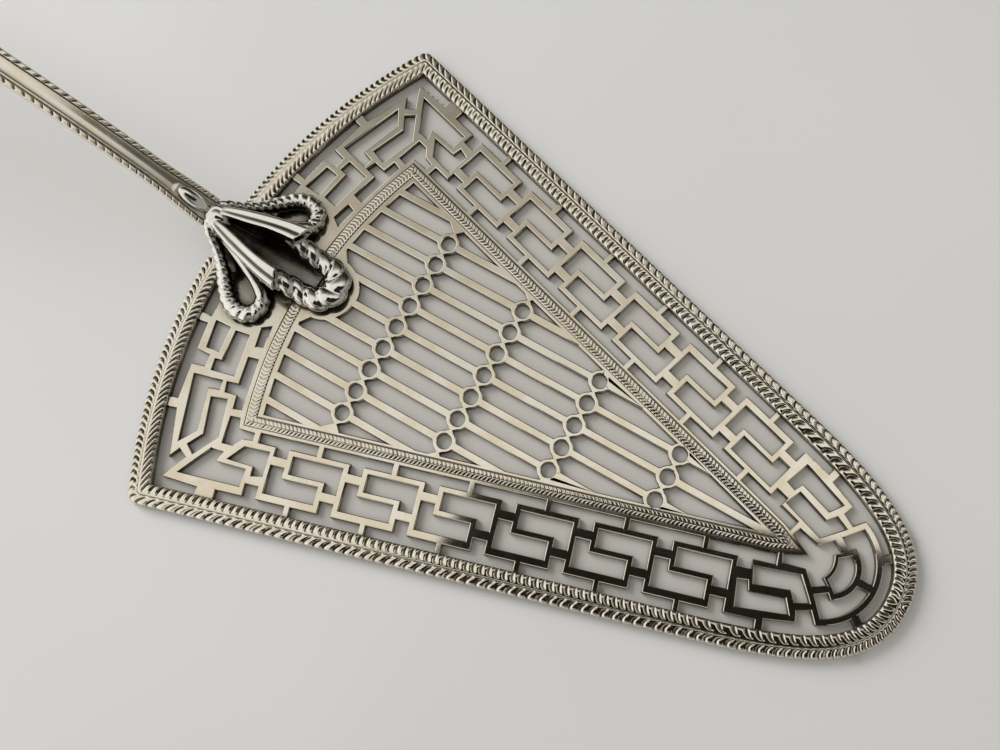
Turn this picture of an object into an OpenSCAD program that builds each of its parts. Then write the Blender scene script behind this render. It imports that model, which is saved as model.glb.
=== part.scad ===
// Pierced silver fish slice. The origin is on the underside of the blade, at the middle of its
// back edge. +X runs along the centre line to the tip, +Z is up, and the sheet lies on Z = 0.

/* [Blade] */
// Length of the blade on its centre line
blade_l = 149.6; // [140:0.1:160]
// Thickness of the pierced sheet
sheet_t = 1.35; // [1:0.05:2]
// Half width of the blade at its back corners
corner_y = 55; // [53:0.1:57]
// Radius of the bowed back edge
back_r = 110; // [100:1:125]
// Length of the rounded nose, from its shoulders to the tip
nose_l = 31; // [26:0.5:36]
// Half width of the blade at the shoulders of the nose
nose_y = 24.04; // [23:0.01:25]

/* [Border] */
// Width of the feathered border
border_w = 4.2; // [3.6:0.1:5]
// Height of the border's ridge above the sheet
border_h = 1.05; // [0.6:0.05:1.6]
// Distance of the ridge from the outer edge
ridge_d = 2; // [1.5:0.1:2.4]
// Spacing of the feather cuts
feather_p = 2.1; // [1.9:0.05:3]
// Depth of the feather cuts
feather_cut = 0.4; // [0.1:0.05:0.6]
// Slant of the feather cuts
feather_lean = 0.9; // [0:0.1:1.2]
// Half width of the gap that the border leaves for the mount
border_gap = 6.4; // [6:0.1:9]

/* [Fret] */
// Width of the fret panel along the sides
fret_w = 14.4; // [13.8:0.1:15]
// Depth of the outer and inner strips of the fret
strip_w = 1.85; // [1.4:0.05:2.4]
// Width of the fret bars
bar_w = 1.2; // [0.9:0.05:1.6]
// Height of the two rows of cells
cell_h = 3.35; // [2.9:0.05:3.5]
// Number of fret units along each side
units = 7; // [5:1:8]
// Width of the stems of the fret
stem_w = 2.6; // [1.8:0.1:3.2]
// Width of the ties that join one unit to the next
tie_w = 1.9; // [1.4:0.1:2.4]

/* [Inner frame] */
// Width of the engraved inner frame along the sides
frame_w = 3.6; // [2.6:0.1:4.4]
// Width of the engraved inner frame at the back
frame_back_w = 4; // [3:0.1:5]
// Distance of the inner frame from the back edge, on the centre line
frame_x = 19.3; // [18.5:0.1:20.5]
// Width of the two scribed lines on the inner frame
scribe_w = 0.25; // [0.1:0.05:0.4]
// Depth of the two scribed lines
scribe_d = 0.2; // [0.1:0.05:0.4]

/* [Grille] */
// Distance of the first row of rings from the back edge
row_x = 41; // [39:0.5:43]
// Distance between rows of rings
row_p = 20; // [19:0.5:21]
// Distance between the grille bars
bar_p = 5; // [4.6:0.1:5.4]
// Width of the grille bars
grille_bar_w = 1.6; // [1:0.1:2.2]
// Radius of the hole in each ring
ring_hole_r = 1.45; // [1:0.05:1.8]
// Width of the metal round each hole
ring_rim = 0.8; // [0.5:0.05:1]

/* [Mount] */
// Length of the mount
mount_l = 31; // [29:0.1:33]
// Radius of the gadrooned side loops
loop_r = 1.75; // [1.3:0.05:2.1]
// Radius of the two fluted lobes at their free ends
lobe_r = 1.9; // [1.4:0.05:2.3]
// Height of the collar above the table
collar_z = 9.6; // [8:0.1:12]

/* [Handle] */
// Reach of the handle behind the back edge
handle_l = 149.6; // [130:0.1:160]
// Highest point of the handle above the table
handle_z = 52; // [44:0.5:60]
// Width of the stem at its narrowest
stem_narrow = 5.3; // [4.4:0.1:6.5]
// Width of the stem at the collar
stem_collar = 6.5; // [5.5:0.1:7.2]
// Width of the rounded end
end_w = 17; // [13:0.5:21]
// Thickness of the stem at the collar
stem_t = 2.8; // [2:0.1:3.6]
// Thickness of the rounded end
end_t = 1.9; // [1.4:0.1:2.6]
// Width of the feathered band along each edge
edge_w = 1; // [0.7:0.05:1.2]
// Depth of the flute
flute_d = 0.5; // [0.2:0.05:0.8]
// Length of the bead in front of the flute
bead_l = 9; // [7:0.5:11]
// Width of the bead
bead_w = 2.5; // [1.8:0.1:3]

/* [Hidden] */
silver = [0.78, 0.76, 0.72];

// Plane geometry of the outline

corner_x = back_r - sqrt(back_r * back_r - corner_y * corner_y);
back_centre = [back_r, 0];

// Angle of the sides, and unit vectors along a side, towards the tip, and square to it, outwards
side_a = atan2(corner_y - nose_y, blade_l - nose_l - corner_x);
side_dir = [cos(side_a), -sin(side_a)];
side_out = [sin(side_a), cos(side_a)];

// Distance of the side line from the origin, measured square to the side
side_reach = [corner_x, corner_y] * side_out;

// Where the side line, moved in by d, meets the back circle of radius r
function side_meets_back(d, r) =
    let (foot = back_centre + (side_reach - d - back_centre * side_out) * side_out)
    let (drop = norm(foot - back_centre))
    foot - sqrt(r * r - drop * drop) * side_dir;

// Point on the side line, moved in by d, at the distance x from the back edge
function side_at(d, x) = [x, (side_reach - d - x * side_out[0]) / side_out[1]];

function bezier(a, b, c, e, t) =
    pow(1 - t, 3) * a + 3 * pow(1 - t, 2) * t * b + 3 * (1 - t) * t * t * c + t * t * t * e;
function bezier_dir(a, b, c, e, t) =
    let (v = pow(1 - t, 2) * (b - a) + 2 * (1 - t) * t * (c - b) + t * t * (e - c))
    v / norm(v);

nose_a = [blade_l - nose_l, nose_y];
nose_b = nose_a + 0.645 * nose_l * side_dir;
nose_c = [blade_l, 0.415 * nose_l];
nose_e = [blade_l, 0];

function nose_at(d, t) =
    let (v = bezier_dir(nose_a, nose_b, nose_c, nose_e, t))
    bezier(nose_a, nose_b, nose_c, nose_e, t) + d * [v[1], -v[0]];

// Edge point at the offset d inwards. u runs from 0 on the back edge to 1 at the corner, 2 at
// the shoulder and 3 at the tip.
function edge_at(u, d) =
    u <= 1
        ? let (c = side_meets_back(d, back_r - d))
          let (a = u * asin(c[1] / (back_r - d)))
          back_centre + (back_r - d) * [-cos(a), sin(a)]
        : u <= 2
            ? (2 - u) * side_meets_back(d, back_r - d) + (u - 1) * nose_at(d, 0)
            : nose_at(d, u - 2);

back_steps = 12;
nose_steps = 14;
function half_outline(d) = concat(
    [for (i = [0:back_steps]) edge_at(i / back_steps, d)],
    [for (i = [0:nose_steps]) edge_at(2 + i / nose_steps, d)]);

function mirrored(points) = [for (i = [len(points) - 1:-1:0]) [points[i][0], -points[i][1]]];
function loop_of(points) = concat(points, mirrored(points));

module outline(d) {
    polygon(loop_of(half_outline(d)));
}

module both_halves() {
    children();
    mirror([0, 1, 0]) children();
}

// Distance by which the sheet stays inside the border's scallops
sheet_in = 0.3;

// The inner frame

frame_d = border_w + fret_w;
frame_r = back_r - frame_x;

// Wedge between the two sides, moved in by d and closed by a bowed back of radius r
module wedge(d, r) {
    apex_x = (side_reach - d) / side_out[0];
    start = side_at(d, 0);
    intersection() {
        polygon([[0, -start[1]], [apex_x, 0], [0, start[1]]]);
        translate(back_centre) circle(r = r, $fn = 96);
    }
}

// The frame's tip is cut back by blunt_l and ends at the blunter angle blunt_a to the centre line
blunt_l = 4;
blunt_a = 26;

module frame_field(inset) {
    tip_x = (side_reach - frame_d) / side_out[0] - blunt_l - inset / sin(blunt_a);
    tip_y = tip_x * tan(blunt_a);
    intersection() {
        wedge(frame_d + inset, frame_r - inset);
        polygon([[0, -tip_y], [tip_x, 0], [0, tip_y]]);
    }
}

module grille_field() {
    wedge(frame_d + frame_w, frame_r - frame_back_w);
}

// The fret

frame_corner = side_meets_back(frame_d, frame_r);

// Sets its children along the side: +X towards the tip and +Y outwards from the inner frame
module along_side(x) {
    translate(frame_corner + x * side_dir) rotate(-side_a) children();
}

// The units run from the corner pattern to the nose pattern
first_x = 8.1;
last_x = (blade_l - nose_l - frame_corner[0]) / cos(side_a);
unit_l = (last_x - first_x) / (units - 1);

spill = 0.6;
stem_in = 0.6;
first_lead = 3.6;
strip_lead = 5.7;
strip_lag = 5.9;
lower_y = strip_w + bar_w;
upper_y = lower_y + cell_h + bar_w;
stem_end = lower_y + stem_in;
leg_end = upper_y + stem_in;
leg_x = unit_l - bar_w - stem_w;

// T-shaped opening beside the inner frame: a strip with a stem
module inner_strip(lead, length) {
    translate([-lead, -spill]) square([length, strip_w + spill]);
    translate([0, 0]) square([stem_w, stem_end]);
}

// L-shaped opening in the lower row of cells
module lower_cell() {
    translate([stem_w + bar_w, lower_y]) square([unit_l - stem_w - 2 * bar_w, cell_h]);
    translate([leg_x, lower_y]) square([stem_w, leg_end - lower_y]);
}

// L-shaped opening in the upper row of cells
module upper_cell() {
    translate([0, upper_y]) square([leg_x - bar_w, cell_h]);
    translate([0, stem_end + tie_w]) square([stem_w, upper_y + cell_h - stem_end - tie_w]);
}

// T-shaped opening beside the border
module outer_strip() {
    translate([strip_lag, fret_w - strip_w]) square([unit_l - bar_w, strip_w + spill]);
    translate([leg_x, leg_end + tie_w]) square([stem_w, fret_w - leg_end - tie_w]);
}

module side_fret() {
    along_side(first_x - unit_l) outer_strip();
    along_side(first_x) inner_strip(first_lead, unit_l - bar_w + first_lead - strip_lead);
    for (k = [1:units - 2])
        along_side(first_x + k * unit_l) inner_strip(strip_lead, unit_l - bar_w);
    along_side(last_x) inner_strip(strip_lead, unit_l - 2 * bar_w);
    for (k = [0:units - 2]) along_side(first_x + k * unit_l) {
        lower_cell();
        upper_cell();
        outer_strip();
    }
}

// Openings of the corner and of the back panel, laid out for a panel of the width fret_ref with
// the corner of the inner frame at corner_ref
corner_ref = [25.35, 32.6];
fret_ref = 14.4;

module corner_fret() {
    translate(frame_corner) scale(fret_w / fret_ref) translate(-corner_ref) {
        polygon([[3, 8], [7.1, 8], [7.7, 16.4], [4.5, 16.7]]);
        polygon([[4.5, 18.6], [7.9, 18], [9, 23.4], [12, 23.2], [12.4, 25.6], [9.7, 26.4],
                 [11.4, 33.6], [8.5, 34.5]]);
        polygon([[8.5, 36.7], [12.3, 35.4], [14.5, 39.8], [16.6, 44.1], [17.6, 41.7], [19.5, 42.5],
                 [17.4, 47.8], [24.6, 46.2], [25.2, 49.5], [15, 53], [11, 44]]);
        polygon([[11.4, 27.9], [17.2, 26.3], [17.6, 28.1], [15.4, 28.9], [18.4, 37.2], [16.4, 40.6]]);
        polygon([[17, 30.2], [20.1, 29], [22.8, 36], [20.3, 41.3], [18.4, 40.2], [19.9, 37.2]]);
        polygon([[9.1, 16.7], [12.4, 16.5], [13.2, 21.8], [10.5, 22.3]]);
        polygon([[13.7, 16.6], [16.6, 16], [18.6, 24.4], [13.9, 25.6], [13.3, 23.4], [14.8, 23]]);
        polygon([[17.9, 13.7], [19.5, 12.5], [20.4, 16.8], [18.9, 17.4]]);
        polygon([[18.9, 19.9], [21, 19.3], [23.7, 29.3], [22.1, 30], [21.2, 27.4], [18.8, 28],
                 [18, 26.1], [20.3, 25.4]]);
        polygon([[22.5, 31.5], [24.4, 30.9], [25.3, 32.7], [28.5, 32], [28.9, 33.3], [27.1, 34.1],
                 [26.1, 36], [24.1, 36.6]]);
        polygon([[26.8, 38.7], [28.4, 35.1], [33.1, 33.6], [34.4, 38.2], [32.5, 39.2], [31.8, 37.5]]);
        polygon([[19.9, 45.5], [22.9, 38.5], [25.2, 38], [24.9, 40.2], [30.8, 38.7], [31.6, 42]]);
    }
}

// Openings of the nose, laid out from the tip for a nose of the half width nose_ref
nose_ref = 24.04;
arch = [-17.6, 0];
arch_r = 11;
petal = [-15.6, 0];
petal_r = 5.5;
cusp = [-19.7, 0];
cusp_r = 5.2;
arch_w = 1.3;
cusp_w = 0.9;

module disc(centre, radius) {
    translate(centre) circle(r = radius, $fn = 72);
}

module nose_fret() {
    translate([blade_l, 0]) scale(nose_y / nose_ref) {
        polygon([[-27.3, 6.7], [-19.2, 3.9], [-15.7, 7.7], [-18.1, 8.9], [-19.6, 7.2], [-26, 9.6]]);
        polygon([[-28.8, 10.3], [-27.1, 9.6], [-26.2, 11.3], [-19.8, 9.1], [-18.1, 11.4], [-27.1, 14.9]]);
        // Room in front of the inner frame
        polygon([[-23.6, 0], [-23.6, 2.2], [-23, 3.5], [-18.9, 2.4], [-16.6, 4.7], [-14.3, 3.3],
                 [-15.6, 2.4], [-15.6, 0]]);
        intersection() {
            disc(cusp, cusp_r - cusp_w / 2);
            translate([-19.6, -2.4]) square([6, 4.8]);
        }
        // Petal
        difference() {
            disc(petal, petal_r - arch_w / 2);
            disc(cusp, cusp_r + cusp_w / 2);
            polygon([[-21.6, 2.2], [-14.5, 2.2], [-11.3, 4.8], [-15.6, 8], [-21.6, 8]]);
            polygon([[-21.6, -2.2], [-14.5, -2.2], [-11.3, -4.8], [-15.6, -8], [-21.6, -8]]);
        }
        // Shoulder beside the petal's stem, and room beside the end of the side fret
        polygon([[-15.6, 6], [-13.6, 4.5], [-12.7, 5.4], [-12.5, 7]]);
        polygon([[-17.1, 10.1], [-14.9, 8.8], [-13.2, 10.8], [-13.2, 12.5], [-16.3, 12.1]]);
        // Band round the petal
        difference() {
            intersection() {
                disc(arch, arch_r - arch_w / 2);
                polygon([[-15.4, 6.1], [-12.6, 9.4], [-4.6, 9.4], [-4.6, 0.8], [-11.6, 0.8], [-13.4, 4.7]]);
            }
            disc(petal, petal_r + arch_w / 2);
        }
        // Room between the arch and the border
        difference() {
            union() {
                polygon([[-9.6, -6], [-7, -5.2], [-4.1, -7.4], [2.4, -7.4], [2.4, 7.4], [-4.1, 7.4],
                         [-7, 5.2], [-9.6, 6]]);
                polygon([[-21.5, 14.4], [-20.3, 18], [-8.6, 18], [-5.2, 9], [-8.7, 6], [-16.3, 12.1]]);
            }
            disc(arch, arch_r + arch_w / 2);
        }
    }
}

module panel_openings() {
    intersection() {
        difference() {
            outline(border_w);
            frame_field(0);
        }
        union() {
            side_fret();
            corner_fret();
            nose_fret();
        }
    }
}

// The grille

ring_r = ring_hole_r + ring_rim;
rows = 4;
outer_bar = 5;

// Web that closes the narrow gap beside the last ring of one row
last_web = 2;
web_l = 7;

function bars_in(row) = rows - row;

// Solid part of the grille: bars, rings with their necks, and the pad under the mount
module grille_metal() {
    for (k = [-outer_bar:outer_bar])
        translate([0, k * bar_p - grille_bar_w / 2]) square([blade_l, grille_bar_w]);
    for (row = [0:rows - 1]) translate([row_x + row * row_p, 0]) {
        for (k = [-bars_in(row):bars_in(row)]) translate([0, k * bar_p]) circle(r = ring_r, $fn = 48);
        for (k = [-bars_in(row) - 1:bars_in(row)]) translate([0, k * bar_p]) ring_neck();
    }
    translate([row_x + last_web * row_p, 0]) both_halves() {
        translate([0, bars_in(last_web) * bar_p]) square([web_l, bar_p / 2]);
    }
    mount_pad();
}

neck_in = 0.45;
module ring_neck() {
    polygon([[-ring_r, grille_bar_w / 2], [-neck_in, bar_p / 2], [-ring_r, bar_p - grille_bar_w / 2],
             [ring_r, bar_p - grille_bar_w / 2], [neck_in, bar_p / 2], [ring_r, grille_bar_w / 2]]);
}

pad_x = 24.4;
pad_r = 6.8;
module mount_pad() {
    scale(mount_l / mount_ref) {
        translate([pad_x, 0]) circle(r = pad_r, $fn = 72);
        polygon([[15, -10.5], [23, -10], [25.7, -6.2], [28, -5],
                 [28, 5], [25.7, 6.2], [23, 10], [15, 10.5]]);
    }
}

// Half width of the room inside the frame at x
function grille_half(x) = side_at(frame_d + frame_w, x)[1];

module ring_holes() {
    for (row = [0:rows - 1], k = [-bars_in(row):bars_in(row)])
        let (x = row_x + row * row_p)
        if (abs(k * bar_p) < grille_half(x))
            translate([x, k * bar_p]) circle(r = ring_hole_r, $fn = 48);
}

module grille_openings() {
    difference() {
        grille_field();
        grille_metal();
    }
    ring_holes();
}

scribe_in = 0.6;

// A scribed line on the inner frame, inset from its outer edge
module scribed_line(inset) {
    translate([0, 0, sheet_t - scribe_d]) linear_extrude(scribe_d + 1) difference() {
        frame_field(inset);
        frame_field(inset + scribe_w);
    }
}

module blade() {
    color(silver) difference() {
        linear_extrude(sheet_t) difference() {
            outline(sheet_in);
            both_halves() panel_openings();
            grille_openings();
        }
        scribed_line(scribe_in);
        scribed_line(frame_w - scribe_in - scribe_w);
    }
}

// Swept solids

// Closed solid through rings that all have the same number of points
module skin(rings) {
    n = len(rings[0]);
    m = len(rings);
    sides = [for (i = [0:m - 2], j = [0:n - 1])
        each [[i * n + j, i * n + (j + 1) % n, (i + 1) * n + (j + 1) % n],
              [i * n + j, (i + 1) * n + (j + 1) % n, (i + 1) * n + j]]];
    last = (m - 1) * n;
    caps = [for (j = [1:n - 2]) each [[0, j + 1, j], [last, last + j, last + j + 1]]];
    polyhedron([for (r = rings) each r], concat(sides, caps), convexity = 10);
}

function smooth(x) = let (t = min(1, max(0, x))) t * t * (3 - 2 * t);

// Smooth curve through hand-set stations, with the given steps between each two
function between(a, b, c, d, t) =
    0.5 * (2 * b + (c - a) * t + (2 * a - 5 * b + 4 * c - d) * t * t + (3 * b - a - 3 * c + d) * t * t * t);
function spline(p, steps) = [
    for (i = [0:len(p) - 2], k = [0:steps - 1])
        between(p[max(i - 1, 0)], p[i], p[i + 1], p[min(i + 2, len(p) - 1)], k / steps),
    p[len(p) - 1]];

// The border

// Length of the nose's curve as a share of nose_l
bent_share = 1.33;

// Distances along the ridge: back edge, side and nose
back_len = back_r * asin(corner_y / back_r) * PI / 180;
side_len = norm(nose_a - [corner_x, corner_y]);
nose_len = bent_share * nose_l;
gap_len = back_r * asin(border_gap / back_r) * PI / 180;

function place_at(s) =
    s <= back_len
        ? s / back_len
        : s <= back_len + side_len
            ? 1 + (s - back_len) / side_len
            : 2 + (s - back_len - side_len) / nose_len;

// The slant of the cuts dies out at the corner, at the tip and at the end beside the mount
tip_len = back_len + side_len + nose_len;
lean_fade = 4;
function lean_at(s) =
    feather_lean * min(1, min(abs(s - back_len), min(tip_len - s, s - gap_len)) / lean_fade);

// Border profile as distance from the edge, height and share of the feather cut
corner_round = 0.7;
scallop_share = 0.6;
profile = [
    [border_w, 0, 0],
    [border_w, 0.28, 0.4],
    [(ridge_d + border_w) / 2, 0.7, 1],
    [ridge_d, 1, 0],
    [ridge_d * 0.5, 0.75, 1],
    [0, 0.3, 0.5],
    [0, 0, 0]];

function border_ring(s, cut) = [
    for (p = profile)
        let (bevel = p[0] == 0 ? corner_round * max(0, 1 - abs(s - back_len)) : 0)
        let (scallop = p[0] == 0 ? cut * feather_cut * scallop_share : 0)
        let (e = edge_at(place_at(s - lean_at(s) * abs(p[0] - ridge_d)), p[0] + bevel + scallop))
        [e[0], e[1], sheet_t + p[1] * border_h - cut * p[2] * feather_cut]];

back_cuts = round((back_len - gap_len) / feather_p);
side_cuts = round((side_len + nose_len) / feather_p);

// Every second ring lies in a cut
half_rings = concat(
    [for (i = [0:2 * back_cuts - 1])
        border_ring(gap_len + (back_len - gap_len) * i / (2 * back_cuts), i % 2)],
    [for (i = [0:2 * side_cuts])
        border_ring(back_len + (tip_len - back_len) * i / (2 * side_cuts), i % 2)]);

function across(ring) = [for (p = ring) [p[0], -p[1], p[2]]];

module border() {
    other_half = [for (i = [len(half_rings) - 2:-1:0]) across(half_rings[i])];
    color(silver) skin(concat(half_rings, other_half));
}

// The handle

// Control points of the stem's line, seen from the side as [x, z]
rise = handle_z - collar_z;
stem_start = [0, collar_z + 0.03 * rise];
stem_b = [-0.1825 * handle_l, collar_z + 0.62 * rise];
stem_c = [-0.6385 * handle_l, collar_z + 1.25 * rise];
stem_end_at = [-handle_l, collar_z + 0.914 * rise];
stem_a = atan2(stem_b[1] - stem_start[1], stem_start[0] - stem_b[0]);

stem_len = 1.063 * handle_l;
edge_cut_p = 2.2;
edge_cut_d = 0.35;
edge_cut_lean = 0.9;
stem_cuts = round(stem_len / edge_cut_p);

// Distance over which the collar's width dies out, and the place and length of the swell
collar_fade = 18;
swell_from = 0.36 * stem_len;
swell_over = 0.72 * stem_len;
end_r = end_w / 2;
swell_end = smooth((stem_len - end_r - swell_from) / swell_over);
plain_len = end_r + 4;
bead_gap = 0.3;
edge_step = 0.18;

// Half width, thickness, flute and bead at the distance s from the collar
function half_width(s) =
    let (neck = stem_narrow + (stem_collar - stem_narrow) * (1 - smooth(s / collar_fade)))
    let (grown = min(1, smooth((s - swell_from) / swell_over) / swell_end))
    let (past = max(0, s - (stem_len - end_r)) / end_r)
    (neck + (end_w - stem_narrow) * grown) / 2 * sqrt(max(0.01, 1 - past * past));
function thickness(s) = stem_t + (end_t - stem_t) * smooth(s / stem_len);
function flute_at(s) = flute_d * smooth((s - bead_l) / 1.5) * smooth((stem_len - plain_len - s) / 6);
function bead_at(s) = sqrt(max(0, 1 - pow((s - bead_l / 2 - bead_gap) / (bead_l / 2), 2)));

// Cross-section at s: place across, height above the stem line, and lean of the point
function stem_section(s, cut) =
    let (h = half_width(s))
    let (t = thickness(s))
    let (c = cut * edge_cut_d * smooth((stem_len - plain_len - s) / 4))
    let (f = flute_at(s))
    let (b = bead_at(s))
    let (e = min(edge_w, 0.4 * h))
    let (foot = b > 0 ? bead_w / 2 * b + 0.1 : 0.5 * (h - e))
    let (side = [
        [0.55 * h, -t, 0],
        [h - 0.4 * c, -0.3 * t - 0.3 * c, 1],
        [h - e, 0.25 - 0.3 * c, 0],
        [h - e - edge_step, 0, 0],
        [foot, b > 0 ? 0 : -0.7 * f, 0]])
    let (middle = b > 0 ? 0.45 * bead_w * b : -f)
    concat(side, [[0, middle, 0]], [for (i = [len(side) - 1:-1:0]) [-side[i][0], side[i][1], side[i][2]]]);

function stem_ring(t, cut) =
    let (s = t * stem_len)
    let (c = bezier(stem_start, stem_b, stem_c, stem_end_at, t))
    let (v = bezier_dir(stem_start, stem_b, stem_c, stem_end_at, t))
    let (up = [v[1], -v[0]])
    let (lean = edge_cut_lean * min(1, min(s, stem_len - s) / 5))
    [for (p = stem_section(s, cut))
        let (at = c - lean * p[2] * v + p[1] * up)
        [at[0], p[0], at[1]]];

module handle() {
    n = 2 * stem_cuts;
    color(silver) skin([for (i = [0:n]) stem_ring(i / n, i % 2)]);
}

// The mount

// Bar that follows spline stations of [x, y, z, half width, half height], a round one
// that swells and narrows by the share given as bulge
bar_sides = 7;
function place(station) = [station[0], station[1], station[2]];
function bar_rings(p, bulge) = [
    for (i = [0:len(p) - 1])
        let (step = place(p[min(i + 1, len(p) - 1)]) - place(p[max(i - 1, 0)]))
        let (v = step / norm(step))
        let (side = [v[1], -v[0], 0] / norm([v[0], v[1]]))
        let (up = cross(side, v))
        let (g = 1 + bulge * (i % 2 == 0 ? 1 : -1))
        [for (k = [0:bar_sides - 1])
            let (turn = 360 * k / bar_sides)
            place(p[i]) + g * (p[i][3] * cos(turn) * side + p[i][4] * sin(turn) * up)]];

// The casting is laid out from the top of the sheet, for a mount of the length mount_ref whose
// collar is collar_ref above the sheet
mount_ref = 31;
collar_ref = 9.52;
loop_z = 0.85 * loop_r;

side_loop = [
    [0.2, 2.4, 8.7, 0.8, 0.9],
    [2.8, 3.5, 7.6, 0.9, 0.9],
    [5.2, 5.8, 4.9, 1.1, 1.2],
    [7.6, 8.6, 2.8, 1.5, 1.6],
    [10.6, 11.6, loop_z, loop_r, loop_r],
    [13.8, 12.9, loop_z, loop_r, loop_r],
    [15.9, 11.4, loop_z, loop_r, loop_r],
    [15.7, 8.8, loop_z + 0.5, loop_r, loop_r],
    [13.6, 6.4, loop_z + 1.4, 1.5, 1.5],
    [10.2, 4.2, 5, 1.3, 1.3],
    [5.5, 2.6, 7.3, 1, 1],
    [1.5, 1.4, 8.5, 0.8, 0.8]];

front_loop = [
    [14.5, 0.6, 3, 1.2, 1.4],
    [17.2, 3.4, loop_z + 0.4, 1.6, 1.6],
    [20.6, 4.1, loop_z, 1.7, 1.8],
    [24, 3.6, loop_z, 1.7, 1.8],
    [26, 2, loop_z, 1.7, 1.8],
    [26.6, 0, loop_z, 1.7, 1.8]];

// Stations of [x, y, z, radius]
lobe_line = [
    [0.4, 0.8, 8.9, 0.9],
    [4.5, 1.5, 8.9, 1.1],
    [9, 2.5, 8.7, 1.5],
    [13.5, 3.5, 8.5, 1.8],
    [17.6, 4.4, 8.3, lobe_r]];

ball_sides = 8;
module ball(p, r) {
    translate(place(p)) sphere(r = r, $fn = ball_sides);
}

module lobe() {
    for (i = [0:len(lobe_line) - 2]) hull() {
        ball(lobe_line[i], lobe_line[i][3]);
        ball(lobe_line[i + 1], lobe_line[i + 1][3]);
    }
}

// Raised body under the lobes, as two hulls of [x, y, z, radius]
body_back = [[1.2, 0, 7.6, 2], [8, 2, 5.4, 2.2], [8, -2, 5.4, 2.2], [4, 0, 2, 2.6],
             [9, 3.2, 1.2, 2], [9, -3.2, 1.2, 2]];
body_front = [[8, 2, 5.4, 2.2], [8, -2, 5.4, 2.2], [14, 3, 5, 2], [14, -3, 5, 2],
              [13, 4.6, 1.2, 1.8], [13, -4.6, 1.2, 1.8]];

module body() {
    for (part = [body_back, body_front]) hull() {
        for (p = part) ball(p, p[3]);
    }
}

// Gadroons that fan out round the end of the front loop
fan_x = 24;
fan_r = 5;
module front_gadroons() {
    for (a = [-90:30:90]) hull() {
        ball([fan_x + 1.6 * cos(a), 2.6 * sin(a), loop_z + 0.4], 1.2);
        ball([fan_x + 0.6 + fan_r * cos(a), 3.6 * sin(a), loop_z - 0.3], 1.5);
    }
}

module casting() {
    ring_half = spline(front_loop, 3);
    back_half = [for (i = [len(ring_half) - 2:-1:0]) let (p = ring_half[i]) [p[0], -p[1], p[2], p[3], p[4]]];
    body();
    both_halves() {
        lobe();
        skin(bar_rings(spline(side_loop, 3), 0.1));
    }
    skin(bar_rings(concat(ring_half, back_half), 0.08));
    front_gadroons();
}

module scroll_mount() {
    along = mount_l / mount_ref;
    room = 2 * mount_l;
    color(silver) difference() {
        translate([0, 0, sheet_t]) scale([along, along, (stem_start[1] - sheet_t) / collar_ref]) casting();
        // Flat foot on the sheet
        translate([-room, -room, sheet_t - room]) cube([2 * room, 2 * room, room]);
        // Seat of the handle
        translate([stem_start[0], 0, stem_start[1]]) rotate([0, stem_a, 0])
            translate([-room, -room, -room]) cube([room, 2 * room, 2 * room]);
    }
}

blade();
border();
scroll_mount();
handle();
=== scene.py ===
import math

import bmesh
import bpy
import numpy as np
from bpy.props import FloatProperty, FloatVectorProperty, PointerProperty
from bpy.types import Operator, Panel, PropertyGroup
from mathutils import Matrix, Vector


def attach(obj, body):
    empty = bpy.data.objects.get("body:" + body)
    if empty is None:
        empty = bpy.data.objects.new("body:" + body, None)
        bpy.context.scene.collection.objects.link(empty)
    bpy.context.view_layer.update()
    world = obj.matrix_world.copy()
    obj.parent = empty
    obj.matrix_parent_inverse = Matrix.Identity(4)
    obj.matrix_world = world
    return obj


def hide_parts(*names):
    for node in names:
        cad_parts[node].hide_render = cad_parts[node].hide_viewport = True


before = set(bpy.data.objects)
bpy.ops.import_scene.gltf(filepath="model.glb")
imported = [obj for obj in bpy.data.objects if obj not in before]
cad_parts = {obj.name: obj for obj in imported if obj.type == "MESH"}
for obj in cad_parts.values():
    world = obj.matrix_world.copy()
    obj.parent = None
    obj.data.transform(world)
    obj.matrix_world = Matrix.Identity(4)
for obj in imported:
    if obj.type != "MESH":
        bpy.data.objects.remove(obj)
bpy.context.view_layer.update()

bl_info = {
    "name": "Pierced fish slice",
    "version": (1, 0, 0),
    "blender": (4, 5, 0),
    "location": "View3D > Sidebar > Fish slice",
    "description": "Finishes the solids of a pierced silver fish slice with cut, cast and engraved surfaces",
    "category": "Add Mesh",
}

MM = 0.001

# Sizes of the solids, in mm
BLADE_L = 149.6
SHEET_T = 1.35
CORNER_Y = 55.0
BACK_R = 110.0
NOSE_L = 31.0
NOSE_Y = 24.04
BORDER_W = 4.2
BORDER_GAP = 6.4
FRET_W = 14.4
FRAME_X = 19.3
HANDLE_L = 149.6
HANDLE_Z = 52.0
COLLAR_Z = 9.6
STEM_NARROW = 5.3
STEM_COLLAR = 6.5
END_W = 17.0
STEM_T = 2.8
END_T = 1.9
LOOP_R = 1.75

# How far the foot of a raised piece sinks into the sheet, in mm
SUNK = 0.02

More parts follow.
